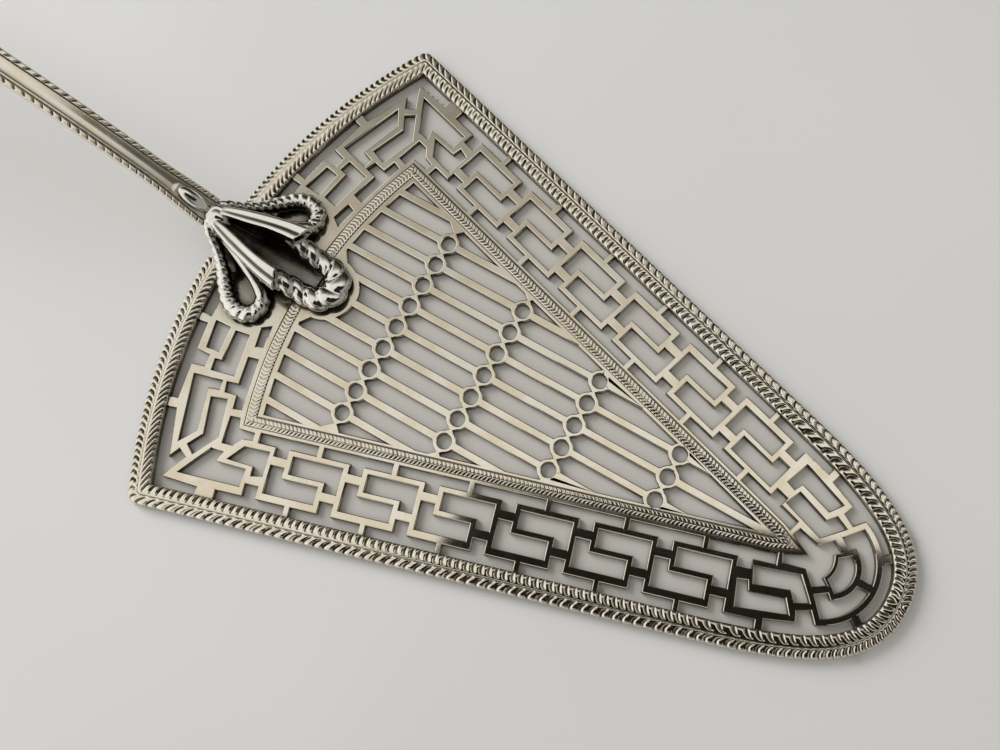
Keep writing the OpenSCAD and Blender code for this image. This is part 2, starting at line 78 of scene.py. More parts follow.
# The outline's corner, side and back circle
CORNER = np.array([BACK_R - math.sqrt(BACK_R ** 2 - CORNER_Y ** 2), CORNER_Y])
BACK_C = np.array([BACK_R, 0.0])
NOSE = np.array([BLADE_L - NOSE_L, NOSE_Y])
SIDE_DIR = (NOSE - CORNER) / np.linalg.norm(NOSE - CORNER)
SIDE_OUT = np.array([-SIDE_DIR[1], SIDE_DIR[0]])
REACH = CORNER @ SIDE_OUT
NOSE_CURVE = np.array([NOSE, NOSE + 0.645 * NOSE_L * SIDE_DIR, [BLADE_L, 0.415 * NOSE_L], [BLADE_L, 0.0]])
BACK_LEN = BACK_R * math.asin(CORNER_Y / BACK_R)
SIDE_LEN = float(np.linalg.norm(NOSE - CORNER))
NOSE_LEN = 1.33 * NOSE_L
TIP_LEN = BACK_LEN + SIDE_LEN + NOSE_LEN


# Shapes as whole arrays

def smooth(x):
    """0 below 0, 1 above 1, and 3x^2 - 2x^3 between."""
    x = np.clip(x, 0.0, 1.0)
    return x * x * (3.0 - 2.0 * x)


def unit(v):
    """Vectors divided by their lengths."""
    return v / np.linalg.norm(v, axis=-1, keepdims=True)


def cubic(points, t):
    """Cubic curve through four control points and its unit tangent at the parameters t."""
    a, b, c, e = points
    t = np.asarray(t)[..., None]
    at = (1 - t) ** 3 * a + 3 * (1 - t) ** 2 * t * b + 3 * (1 - t) * t ** 2 * c + t ** 3 * e
    along = (1 - t) ** 2 * (b - a) + 2 * (1 - t) * t * (c - b) + t ** 2 * (e - c)
    return at, unit(along)


def spline(stations, count):
    """Smooth curve through the stations: on each stretch, half of 2b + (c - a)t + (2a - 5b + 4c - d)t^2
    + (3b - a - 3c + d)t^3, sampled at count even parameters."""
    p = np.asarray(stations, float)
    p = np.concatenate([p[:1], p, p[-1:]])
    u = np.linspace(0, len(p) - 3 - 1e-9, count)
    i = u.astype(int)
    t = (u - i)[:, None]
    a, b, c, d = p[i], p[i + 1], p[i + 2], p[np.minimum(i + 3, len(p) - 1)]
    return 0.5 * (2 * b + (c - a) * t + (2 * a - 5 * b + 4 * c - d) * t ** 2
                  + (3 * b - a - 3 * c + d) * t ** 3)


def arc_length(path):
    """Distance along a path at each of its points: the running sum of its steps."""
    steps = np.linalg.norm(np.diff(path, axis=0), axis=1)
    return np.concatenate([[0.0], np.cumsum(steps)])


def ragged(k, seed):
    """A fixed share between 0 and 1 for each whole number k: the fraction of a large sine."""
    x = np.sin(k * 12.9898 + seed * 78.233) * 43758.5453
    return x - np.floor(x)


def full_turn(count):
    """Row of count even angles round a circle."""
    return np.linspace(0, 2 * np.pi, count, endpoint=False)[None, :]


def edge_points(s, d):
    """Half outline moved in by d, at the distance s from the middle of the back: the back circle, then
    the straight side, then the cubic nose moved along its normal."""
    s, d = np.broadcast_arrays(np.asarray(s, float), np.asarray(d, float))
    r = BACK_R - d
    foot = BACK_C + (REACH - d - BACK_C @ SIDE_OUT)[..., None] * SIDE_OUT
    drop = np.linalg.norm(foot - BACK_C, axis=-1)
    corner = foot - np.sqrt(r * r - drop * drop)[..., None] * SIDE_DIR
    angle = s / BACK_LEN * np.arcsin(corner[..., 1] / r)
    back = BACK_C + r[..., None] * np.stack([-np.cos(angle), np.sin(angle)], -1)
    at, along = cubic(NOSE_CURVE, np.clip((s - BACK_LEN - SIDE_LEN) / NOSE_LEN, 0, 1))
    nose = at + d[..., None] * np.stack([along[..., 1], -along[..., 0]], -1)
    share = np.clip((s - BACK_LEN) / SIDE_LEN, 0, 1)[..., None]
    side = (1 - share) * corner + share * (NOSE - d[..., None] * SIDE_OUT)
    on_back = (s <= BACK_LEN)[..., None]
    on_side = (s <= BACK_LEN + SIDE_LEN)[..., None]
    return np.where(on_back, back, np.where(on_side, side, nose))


def wedge_corner(d, r):
    """Where the side line moved in by d meets the back circle of radius r."""
    foot = BACK_C + (REACH - d - BACK_C @ SIDE_OUT) * SIDE_OUT
    drop = np.linalg.norm(foot - BACK_C)
    return foot - math.sqrt(r * r - drop * drop) * SIDE_DIR


def there_and_back(columns):
    """The columns from the handle to the tip, then the same ones back without the one at the tip."""
    return np.concatenate([columns, columns[-2::-1]])


def both_sides(half):
    """A half surface as columns from the handle to the tip, joined at the tip to its mirror image."""
    return np.concatenate([half, (half * [1, -1, 1])[-2::-1]])


def add_object(name, data):
    """New object with this data, linked to the scene."""
    made = bpy.data.objects.new(name, data)
    bpy.context.scene.collection.objects.link(made)
    return made


def grid_mesh(name, points, closed=False, capped=False, soil=None):
    """Mesh over a grid of points in mm, as columns by rows. Closed joins the last row to the first, and
    capped closes the first and last column. Faces are turned so that a closed shape's volume, or an open
    one's mean normal along Z, is above zero. The soil of each point becomes a mesh attribute."""
    columns, rows = points.shape[:2]
    flat = points.reshape(-1, 3) * MM
    index = np.arange(columns * rows).reshape(columns, rows)
    ring = np.concatenate([index, index[:, :1]], 1) if closed else index
    quads = np.stack([ring[:-1, :-1], ring[1:, :-1], ring[1:, 1:], ring[:-1, 1:]], -1).reshape(-1, 4)
    a, b, c, e = (flat[quads[:, i]] for i in range(4))
    area = np.cross(c - a, e - b)
    size = ((a + b + c + e) / 4 * area).sum() if closed else area[:, 2].sum()
    loops = [quads[:, ::-1] if size < 0 else quads]
    sizes = np.full(len(quads), 4)
    if capped:
        first, last = (index[0], index[-1][::-1]) if size < 0 else (index[0][::-1], index[-1])
        loops += [first, last]
        sizes = np.concatenate([sizes, [rows, rows]])
    loops = np.concatenate([part.ravel() for part in loops])
    mesh = bpy.data.meshes.new(name)
    mesh.vertices.add(len(flat))
    mesh.vertices.foreach_set("co", flat.ravel())
    mesh.loops.add(len(loops))
    mesh.loops.foreach_set("vertex_index", loops.astype(np.int32))
    mesh.polygons.add(len(sizes))
    mesh.polygons.foreach_set("loop_start", np.concatenate([[0], np.cumsum(sizes)[:-1]]).astype(np.int32))
    mesh.polygons.foreach_set("use_smooth", np.ones(len(sizes), bool))
    mesh.update(calc_edges=True)
    if soil is not None:
        stain = mesh.attributes.new("soil", "FLOAT", "POINT").data
        stain.foreach_set("value", soil.ravel().astype(np.float32))
    return add_object(name, mesh)


ROPE_SIDES = 24


def tube(path, across, above):
    """Surface round a path: each ring is moved across, level and square to the path, and above, square to
    both. across and above hold one row of numbers for each point of the path."""
    along = unit(np.gradient(path, axis=0))
    side = unit(np.stack([along[:, 1], -along[:, 0], np.zeros(len(path))], -1))
    up = np.cross(side, along)
    return path[:, None] + across[..., None] * side[:, None] + above[..., None] * up[:, None]


def rope(stations, count, pitch=1.0, deep=0.0, twist=0.0, fade=0.0):
    """Round bar of count rings along stations of x, y, z, half width and half height. Its radius is narrowed
    by deep where |sin(pi s / pitch + twist angle / 2)| is near zero, which cuts slanted hollows between its
    lobes. The hollows grow from nothing over the length fade at both ends."""
    line = spline(stations, count)
    s = arc_length(line[:, :3])[:, None]
    turn = full_turn(ROPE_SIDES)
    lobes = np.abs(np.sin(np.pi * s / pitch + twist * turn / 2)) ** 0.7
    deep = deep * smooth(np.minimum(s, s[-1] - s) / fade) if fade else deep
    r = 1 - deep + deep * lobes
    return tube(line[:, :3], line[:, 3:4] * r * np.cos(turn), line[:, 4:5] * r * np.sin(turn))


# Materials

# How much each of red, green and blue loses where silver browns, the brightness of its dark specks, and the
# scales of the patches and specks per metre
BROWNING = (1.0, 1.4, 2.2)
SPECK_SHADE = 0.55
PATCH_SCALE = 160.0
SPECK_SCALE = 1500.0


def shader(name, roughness, metallic=1.0):
    """New material and its surface node."""
    material = bpy.data.materials.new(name)
    material.use_nodes = True
    surface = material.node_tree.nodes["Principled BSDF"]
    surface.inputs["Metallic"].default_value = metallic
    surface.inputs["Roughness"].default_value = roughness
    return material, surface


class Nodes:
    """Short calls for the nodes of one tree. Where a value isn't a number or a colour, it is a socket."""

    def __init__(self, tree):
        self.tree = tree

    def add(self, kind, **values):
        """New node of a kind, with its settings."""
        node = self.tree.nodes.new(kind)
        for key, value in values.items():
            setattr(node, key, value)
        return node

    def link(self, source, target):
        self.tree.links.new(source, target)

    def math(self, operation, a, b=None, clamp=False):
        """Result of one operation on one or two values."""
        node = self.add("ShaderNodeMath", operation=operation, use_clamp=clamp)
        for socket, value in zip(node.inputs, (a, b)):
            if value is None:
                continue
            if isinstance(value, (int, float)):
                socket.default_value = value
            else:
                self.link(value, socket)
        return node.outputs[0]

    def weigh(self, x, a, y, b):
        """The sum a x + b y."""
        return self.math("ADD", self.math("MULTIPLY", x, a), self.math("MULTIPLY", y, b))

    def ramp(self, value, low, high, to_low=0.0, to_high=1.0):
        """The value carried smoothly from the range low to high to the range to_low to to_high."""
        node = self.add("ShaderNodeMapRange", interpolation_type="SMOOTHSTEP")
        self.link(value, node.inputs[0])
        for socket, number in zip(node.inputs[1:5], (low, high, to_low, to_high)):
            socket.default_value = number
        return node.outputs[0]

    def mix(self, factor, a, b):
        """Colour a where the factor is 0 and b where it is 1."""
        node = self.add("ShaderNodeMix", data_type="RGBA")
        for socket, value in ((node.inputs[0], factor), (node.inputs[6], a), (node.inputs[7], b)):
            if isinstance(value, (tuple, list)):
                socket.default_value = (*value, 1.0)[:4]
            elif isinstance(value, float):
                socket.default_value = value
            else:
                self.link(value, socket)
        return node.outputs[2]

    def noise(self, place, scale, detail=3.0, rough=0.55):
        """Cloudy pattern around 0.5 at the place, finer with a larger scale."""
        node = self.add("ShaderNodeTexNoise")
        self.link(place, node.inputs["Vector"])
        node.inputs["Scale"].default_value = scale
        node.inputs["Detail"].default_value = detail
        node.inputs["Roughness"].default_value = rough
        return node.outputs[0]


def silver(name, colour, tarnish_and_shade, roughness, hollow, worn=0.06, soiled=None, walls=False, grain=0.02,
           metallic=1.0, shaded=(0.32, 0.82)):
    """Worn silver. Patina and painted shade darken the hollows, where the openness within the length hollow
    falls through the range shaded, and the walls, when walls is set; patina darkens the cuts, where the soil
    attribute rises through the range soiled. Patches brown the colour by the share worn and vary the polish,
    and a fine bump has the strength grain."""
    colour, tarnish_and_shade = tuple(colour), tuple(tarnish_and_shade)
    material, surface = shader(name, roughness, metallic)
    n = Nodes(material.node_tree)
    place = n.add("ShaderNodeTexCoord").outputs["Object"]
    patches = n.noise(place, PATCH_SCALE, 4.0, 0.6)
    specks = n.noise(place, SPECK_SCALE, 5.0, 0.7)
    browned = tuple(c * (1 - worn * share) for c, share in zip(colour, BROWNING))
    shade = n.mix(n.ramp(patches, 0.35, 0.65), browned, colour)
    shade = n.mix(n.ramp(specks, 0.56, 0.74, 0.0, 0.35), shade, tuple(c * SPECK_SHADE for c in colour))
    # Painted shade: little openness round a point turns it to the dark colour, as shadow in a hollow would,
    # besides its patina
    shade_from_openness = n.add("ShaderNodeAmbientOcclusion", samples=8)
    shade_from_openness.inputs["Distance"].default_value = hollow
    dark = n.ramp(shade_from_openness.outputs["AO"], *shaded, 1.0, 0.0)
    if soiled:
        soil = n.add("ShaderNodeAttribute", attribute_name="soil").outputs["Fac"]
        dark = n.math("MAXIMUM", dark, n.ramp(soil, *soiled))
    if walls:
        # Painted shade: steep faces turn to the dark colour, partly patina, partly the shadow on the walls of
        # the openings
        normal = n.add("ShaderNodeSeparateXYZ")
        n.link(n.add("ShaderNodeNewGeometry").outputs["Normal"], normal.inputs[0])
        painted_wall_shade = n.ramp(n.math("ABSOLUTE", normal.outputs[2]), 0.05, 0.35, 0.75, 0.0)
        dark = n.math("MAXIMUM", dark, painted_wall_shade)
    dark = n.math("MULTIPLY", dark, n.ramp(patches, 0.2, 0.6, 0.8, 1.0), clamp=True)
    n.link(n.mix(dark, shade, tarnish_and_shade), surface.inputs["Base Color"])
    dull = n.math("ADD", n.ramp(patches, 0.3, 0.7, roughness * 0.85, roughness * 1.15),
                  n.math("MULTIPLY", dark, 0.25))
    n.link(dull, surface.inputs["Roughness"])
    bump = n.add("ShaderNodeBump")
    bump.inputs["Strength"].default_value = grain
    bump.inputs["Distance"].default_value = 0.1 * MM
    n.link(specks, bump.inputs["Height"])
    n.link(bump.outputs[0], surface.inputs["Normal"])
    return material


def dress(piece, material, slot, *nodes):
    """Gives a new piece its material, hides the parts that it replaces and hangs it on the root."""
    piece.data.materials.clear()
    piece.data.materials.append(material)
    if nodes:
        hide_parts(*nodes)
    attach(piece, "root")


# Settings

class SliceFinish(PropertyGroup):
    """Colours and polish of the silver."""
    silver: FloatVectorProperty(name="Silver", description="Colour of the clean silver", subtype="COLOR",
                                default=(0.87, 0.82, 0.715), min=0, max=1)
    bright: FloatVectorProperty(name="Bright silver", description="Colour of the cast mount and the bead",
                                subtype="COLOR", default=(0.88, 0.865, 0.82), min=0, max=1)
    # Dark colour of the patina, also used for the painted shade in hollows and on walls
    tarnish_and_shade: FloatVectorProperty(name="Tarnish", description="Colour of the tarnish in the hollows",
                                 subtype="COLOR", default=(0.030, 0.022, 0.012), min=0, max=1)
    satin: FloatProperty(name="Sheet roughness", description="Roughness of the sheet, band and border",
                         subtype="FACTOR", default=0.065, min=0, max=1)
    polish: FloatProperty(name="Casting roughness", description="Roughness of the cast mount and the bead",
                          subtype="FACTOR", default=0.09, min=0, max=1)
    brushed: FloatProperty(name="Handle roughness", description="Roughness of the handle",
                           subtype="FACTOR", default=0.22, min=0, max=1)
    filed: FloatProperty(name="Filed edge", description="Width of the bright filed edge of each bar",
                         subtype="DISTANCE", unit="LENGTH", default=0.20 * MM)


class SliceCuts(PropertyGroup):
    """Feather cuts and engraving."""
    inner_pitch: FloatProperty(name="Inner row", description="Spacing of the inner cuts along the sides",
                               subtype="DISTANCE", unit="LENGTH", default=1.5 * MM)
    outer_pitch: FloatProperty(name="Outer row", description="Spacing of the outer cuts along the sides",
                               subtype="DISTANCE", unit="LENGTH", default=1.95 * MM)
    border_deep: FloatProperty(name="Border cuts", description="Depth of the border's cuts",
                               subtype="DISTANCE", unit="LENGTH", default=0.34 * MM)
    band_pitch: FloatProperty(name="Band strokes", description="Spacing of the engraved strokes",
                              subtype="DISTANCE", unit="LENGTH", default=0.8 * MM)
    stem_pitch: FloatProperty(name="Handle cuts", description="Spacing of the cuts along the handle",
                              subtype="DISTANCE", unit="LENGTH", default=1.95 * MM)


class SliceStage(PropertyGroup):
    """Floor and light."""
    floor: FloatVectorProperty(name="Floor", description="Colour of the floor", subtype="COLOR",
                               default=(0.65, 0.65, 0.645), min=0, max=1)
    bright: FloatVectorProperty(name="Bright side", description="Colour of the room's bright side",
                                subtype="COLOR", default=(1.0, 0.975, 0.93), min=0, max=1)
    dark: FloatVectorProperty(name="Dark side", description="Colour of the room's dark side",
                              subtype="COLOR", default=(0.022, 0.023, 0.013), min=0, max=1)
    window: FloatProperty(name="Window", description="Power of the large soft lamp",
                          subtype="POWER", unit="POWER", default=9.2)
    room: FloatProperty(name="Room", description="Strength of the light from the room",
                        subtype="FACTOR", default=1.0, min=0)


# The pierced sheet: the distance in mm at which the solid's points are joined, and the limits of the upward
# share of a face's normal for a flat face and for a wall

JOIN = 0.002
FLAT = 0.9
WALL_FACE = 0.1


class SLICE_OT_sheet(Operator):
    """Fits the pierced sheet with the fine filed edge that each bar has"""
    bl_idname = "slice.sheet"
    bl_label = "Pierced sheet"

    def execute(self, context):
        finish = context.scene.slice_finish
        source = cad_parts["blade"]
        mesh = source.data.copy()
        shape = bmesh.new()
        shape.from_mesh(mesh)
        bmesh.ops.remove_doubles(shape, verts=shape.verts, dist=JOIN * MM)
        bmesh.ops.dissolve_limit(shape, angle_limit=math.radians(1), verts=shape.verts, edges=shape.edges)
        weight = shape.edges.layers.float.new("bevel_weight_edge")
        for edge in shape.edges:
            flats = [f for f in edge.link_faces if abs(f.normal.z) > FLAT]
            walls = [f for f in edge.link_faces if abs(f.normal.z) < WALL_FACE]
            high = max((v.co.z for f in walls for v in f.verts), default=0)
            low = min((v.co.z for f in walls for v in f.verts), default=0)
            edge[weight] = 1.0 if flats and walls and high - low > 0.9 * SHEET_T * MM else 0.0
        bmesh.ops.triangulate(shape, faces=[f for f in shape.faces if len(f.verts) > 4])
        shape.to_mesh(mesh)
        shape.free()
        piece = add_object("pierced_sheet", mesh)
        mesh.polygons.foreach_set("use_smooth", np.zeros(len(mesh.polygons), bool))
        bevel = piece.modifiers.new("filed_edge", "BEVEL")
        bevel.limit_method = "WEIGHT"
        bevel.width = finish.filed
        bevel.segments = 2
        bevel.use_clamp_overlap = False
        # Painted shade, with patina: the walls and the sheet within the mount's loops darken as if in shadow
        material = silver("sheet_silver", finish.silver, finish.tarnish_and_shade, finish.satin, 5 * MM,
                          walls=True, grain=0.008, worn=0.11)
        dress(piece, material, "pierced_silver", "blade")
        return {"FINISHED"}


# The feathered border, in mm from the outline inwards and over the sheet

# The line between the rows, the inner row's start, and the greatest and least height
GROOVE = 1.95
LINE_W = 0.09
LINE_DEEP = 0.22
INNER_ROW = 2.4
BORDER_TOP = 1.02
BORDER_LOW = 0.06
# Spacing of the mesh's columns, and its rows
BORDER_STEP = 0.15
BORDER_ROWS = 30
# Spacing of the cuts on the back and at the nose
BACK_PITCH = 1.35
INNER_NOSE_PITCH = 1.8
OUTER_NOSE_PITCH = 1.4
# Widths of the cuts as shares of their spacing
INNER_CUT = 0.18
OUTER_CUT = 0.15
THIN_CUT = 0.06
WIDER_ON_BACK = 0.06
# How far a cut's end lies along the border from its start, and the added share of it on the back
INNER_LEAN = 1.0
OUTER_LEAN = 1.3
MORE_LEAN_ON_BACK = 0.9
# Rise of a leaf between two cuts, notch of a cut in the outline, and length of the change from back to side
LEAF_RISE = 0.05
NOTCH = 0.10
CHANGE_OVER = 6
# How far a cut strays from its place, as a share of the spacing
UNEVEN = 0.10


def leaves(count, width, seed):
    """Row of cuts: every whole number of count is the middle of a cut, whose place and depth differ a little
    from cut to cut. Returns the depth share, and a slope that rises from each cut to the next."""
    k = np.round(count)
    near = count - k - UNEVEN * (ragged(k, seed) - 0.5)
    cut = np.exp(-(near / width) ** 2) * (0.75 + 0.4 * ragged(k, seed + 1))
    return np.minimum(cut, 1), count - np.floor(count) - 0.5


def bowed(x):
    """Offset of a leaf's line at the share x of its length: straight plus half a sine wave."""
    return 0.65 * x + 0.35 * np.sin(np.pi * np.clip(x, 0, 1))


def along_border(s, on_back, on_side, on_nose):
    """Distance along the border counted in cuts: each part's length divided by its spacing."""
    back = np.minimum(s, BACK_LEN) / on_back
    side = np.clip(s - BACK_LEN, 0, SIDE_LEN) / on_side
    nose = np.maximum(s - BACK_LEN - SIDE_LEN, 0) / on_nose
    return back + side + nose


def rounded_edge(s, d):
    """Outline moved in by d, averaged along s over a reach that shrinks inwards, so that the outer corner is
    round and the inner one sharp."""
    reach = 1.7 * smooth(1 - d / 3.5)
    return sum(edge_points(s + k / 4 * reach, d) for k in range(-4, 5)) / 9


class SLICE_OT_border(Operator):
    """Carves the two feathered rows of the border and the line between them"""
    bl_idname = "slice.border"
    bl_label = "Feathered border"

    def execute(self, context):
        finish, sizes = context.scene.slice_finish, context.scene.slice_cuts
        deep = sizes.border_deep / MM
        # s runs along the outline from beside the mount to the tip, and p inwards from the outline
        s = np.append(np.arange(BORDER_GAP, TIP_LEN, BORDER_STEP), TIP_LEN)[:, None]
        p = np.linspace(0, BORDER_W, BORDER_ROWS)[None, :]
        # Share of each row's width from the line between the rows, and the cuts' count there: the distance s
        # plus the row's lean times the bowed share
        in_share = (p - INNER_ROW) / (BORDER_W + 0.2 - INNER_ROW)
        out_share = (GROOVE - 0.1 - p) / (GROOVE - 0.1)
        on_back = smooth((BACK_LEN - s) / CHANGE_OVER)
        lean = 1.0 + MORE_LEAN_ON_BACK * on_back
        inner_at = along_border(s + INNER_LEAN * lean * bowed(in_share), BACK_PITCH,
                                sizes.inner_pitch / MM, INNER_NOSE_PITCH)
        outer_at = along_border(s + OUTER_LEAN * lean * bowed(out_share), BACK_PITCH,
                                sizes.outer_pitch / MM, OUTER_NOSE_PITCH)
        wider = WIDER_ON_BACK * on_back
        inner, inner_slope = leaves(inner_at, INNER_CUT + wider, 1)
        outer, outer_slope = leaves(outer_at, OUTER_CUT + wider, 2)
        # A thin stroke beside each cut of the outer row, past the corner
        thin, _ = leaves(outer_at + 0.25, THIN_CUT, 4)
        outer = np.maximum(outer, 0.5 * thin * smooth((s - BACK_LEN) / CHANGE_OVER))
        # How far the cuts reach across each row
        in_leaf = np.sqrt(np.clip(np.sin(np.pi * np.clip(in_share, 0, 1)), 0, 1))
        out_leaf = smooth(out_share / 0.3) * (1 - 0.25 * smooth((out_share - 0.7) / 0.3))
        # The two rims are rounded off, as shares of the height
        a = np.clip((p - GROOVE) / (BORDER_W - GROOVE), 0, 1)
        b = np.clip((GROOVE - p) / GROOVE, 0, 1)
        height = np.where(p > GROOVE, 1.0 - 0.30 * a ** 8, 1.0 - 0.45 * b ** 10)
        line = np.exp(-((p - GROOVE) / LINE_W) ** 2)
        # Height over the sheet: the rims' height plus the leaves' rise, less the cuts and the line
        z = BORDER_TOP * height + LEAF_RISE * (inner_slope * in_leaf + outer_slope * out_leaf)
        z = np.maximum(z - deep * (inner * in_leaf + outer * out_leaf) - LINE_DEEP * line, BORDER_LOW)
        soil = np.maximum(np.maximum(inner * in_leaf, outer * out_leaf), line)
        # The outer cuts notch the outline, and two rows of points at the sheet close the moulding below
        d = p + NOTCH * outer * smooth((0.7 - p) / 0.7)
        top = np.concatenate([rounded_edge(s, d), (SHEET_T + z)[..., None]], -1)
        foot = top * [1, 1, 0] + [0, 0, SHEET_T - SUNK]
        half = np.concatenate([foot[:, :1], top, foot[:, -1:]], 1)
        soil = np.concatenate([soil[:, :1], soil, soil[:, -1:]], 1)
        piece = grid_mesh("feathered_border", both_sides(half), closed=True, capped=True,
                          soil=there_and_back(soil))
        material = silver("cut_silver", finish.silver, finish.tarnish_and_shade, finish.satin, 0.8 * MM,
                          soiled=(0.3, 0.8), grain=0.01)
        dress(piece, material, "feathered_silver", "border")
        return {"FINISHED"}


# The engraved band of the inner frame, in mm

# The frame's blunt end, and the band's start beside the mount
BLUNT_L = 4.0
BLUNT_A = math.radians(26)
BAND_START = 6.5
# The band's place inside the frame's outer edge, its width, and its points across and along each part
BAND_IN = 0.80
BAND_W = 2.0
BAND_ROWS = 15
BAND_COUNTS = (250, 850, 60)
# Its height, and its strokes, whose width and lean are shares of their spacing
BAND_RISE = 0.11
STROKE_DEEP = 0.07
STROKE_RISE = 0.02
STROKE_W = 0.22
STROKE_LEAN = 0.75
# The line along its middle, and the share of tarnish on the back
MIDDLE_DEEP = 0.05
BACK_SOIL = 0.65


def frame_line(inset, counts):
    """Half of the inner frame's outline moved in by inset: the back circle, the side, and the blunter end
    that meets the centre line, with counts points on each."""
    d, r = BORDER_W + FRET_W + inset, BACK_R - FRAME_X - inset
    start = wedge_corner(d, r)
    tip_x = (REACH - BORDER_W - FRET_W) / SIDE_OUT[0] - BLUNT_L - inset / math.sin(BLUNT_A)
    # Where the side line x out_x + y out_y = reach meets y = (tip_x - x) tan(blunt_a)
    slope = math.tan(BLUNT_A)
    bend_x = (REACH - d - SIDE_OUT[1] * slope * tip_x) / (SIDE_OUT[0] - SIDE_OUT[1] * slope)
    bend, tip = np.array([bend_x, slope * (tip_x - bend_x)]), np.array([tip_x, 0.0])
    turn = np.linspace(BAND_START / r, math.asin(start[1] / r), counts[0], endpoint=False)[:, None]
    back = BACK_C + r * np.concatenate([-np.cos(turn), np.sin(turn)], 1)
    side = start + np.linspace(0, 1, counts[1], endpoint=False)[:, None] * (bend - start)
    end = bend + np.linspace(0, 1, counts[2])[:, None] * (tip - bend)
    return np.concatenate([back, side, end])


class SLICE_OT_band(Operator):
    """Raises the two rows of engraved strokes on the inner frame"""
    bl_idname = "slice.band"
    bl_label = "Engraved band"

    def execute(self, context):
        finish, sizes = context.scene.slice_finish, context.scene.slice_cuts
        pitch = sizes.band_pitch / MM
        rows = np.linspace(0, 1, BAND_ROWS)
        at = np.stack([frame_line(BAND_IN + BAND_W * q, BAND_COUNTS) for q in rows], 1)
        corner, middle = BAND_COUNTS[0], BAND_ROWS // 2
        on_back = np.arange(len(at))[:, None] < corner
        # Strokes are counted by the angle round the back's centre, and along the side's direction
        turn = np.arctan2(at[..., 1], BACK_C[0] - at[..., 0])
        count = np.where(on_back, (turn - turn[corner, middle]) * (BACK_R - FRAME_X) / pitch,
                         (at - at[corner, middle]) @ SIDE_DIR / pitch)
        # 0 on the middle line and 1 on both edges
        row = np.abs(2 * rows - 1)[None, :]
        strokes, slope = leaves(count + STROKE_LEAN * row, STROKE_W, 5)
        inside = smooth(row / 0.2) * smooth((1 - row) / 0.2)
        strokes = strokes * inside
        groove = np.exp(-(row / 0.10) ** 2)
        rise = smooth((1 - row) / 0.15)
        # Height: the band's rise and the strokes' slope, less the strokes and the middle line
        z = SHEET_T - SUNK + rise * (BAND_RISE - STROKE_DEEP * strokes + STROKE_RISE * slope * inside
                                     - MIDDLE_DEEP * groove)
        soil = np.maximum(strokes, 0.75 * groove) * np.where(on_back, BACK_SOIL, 1.0)
        half = np.concatenate([at, z[..., None]], -1)
        piece = grid_mesh("engraved_band", both_sides(half), soil=there_and_back(soil))
        material = silver("engraved_silver", finish.silver, finish.tarnish_and_shade, finish.satin, 0.5 * MM,
                          soiled=(0.3, 0.85), grain=0.01)
        dress(piece, material, "pierced_silver")
        return {"FINISHED"}


# The handle

RISE = HANDLE_Z - COLLAR_Z
STEM_CURVE = np.array([
    [0.0, COLLAR_Z + 0.03 * RISE],
    [-0.1825 * HANDLE_L, COLLAR_Z + 0.62 * RISE],
    [-0.6385 * HANDLE_L, COLLAR_Z + 1.25 * RISE],
    [-HANDLE_L, COLLAR_Z + 0.914 * RISE]])
STEM_LEN = 1.063 * HANDLE_L
NECK_L = 18

# Across the stem's top, in mm from its edge inwards: the cuts, the groove, the roll, the ridge and the flute
CUTS_TO = 1.05
CUT_SIZE = 0.14
CUT_LEAN = 0.9
CUT_DEEP = 0.26
CUT_RISE = 0.03
GROOVE_AT = 1.12
GROOVE_W = 0.13
GROOVE_DEEP = 0.24
ROLL_AT = 0.55
ROLL_H = 0.12
RIDGE_AT = 1.42
RIDGE_W = 0.20
RIDGE_H = 0.10
FLUTE_FROM = 1.62
FLUTE_DEEP = 0.15
# Along the stem, in mm from the mount: the flute's start, and the bead's middle and half sizes
FLUTE_START = 10.6
BEAD_AT = 5.5
BEAD_L, BEAD_W, BEAD_H = 4.9, 1.45, 1.35


def half_width(s):
    """Half width of the stem: a neck that dies out over its length, plus a smooth swell, times the ellipse of
    the rounded end."""
    start, over, end_r = 0.36 * STEM_LEN, 0.72 * STEM_LEN, END_W / 2
    neck = STEM_NARROW + (STEM_COLLAR - STEM_NARROW) * (1 - smooth(s / NECK_L))
    grown = np.minimum(1, smooth((s - start) / over) / smooth((STEM_LEN - end_r - start) / over))
    past = np.maximum(0, s - (STEM_LEN - end_r)) / end_r
    return (neck + (END_W - STEM_NARROW) * grown) / 2 * np.sqrt(np.maximum(0.01, 1 - past ** 2))


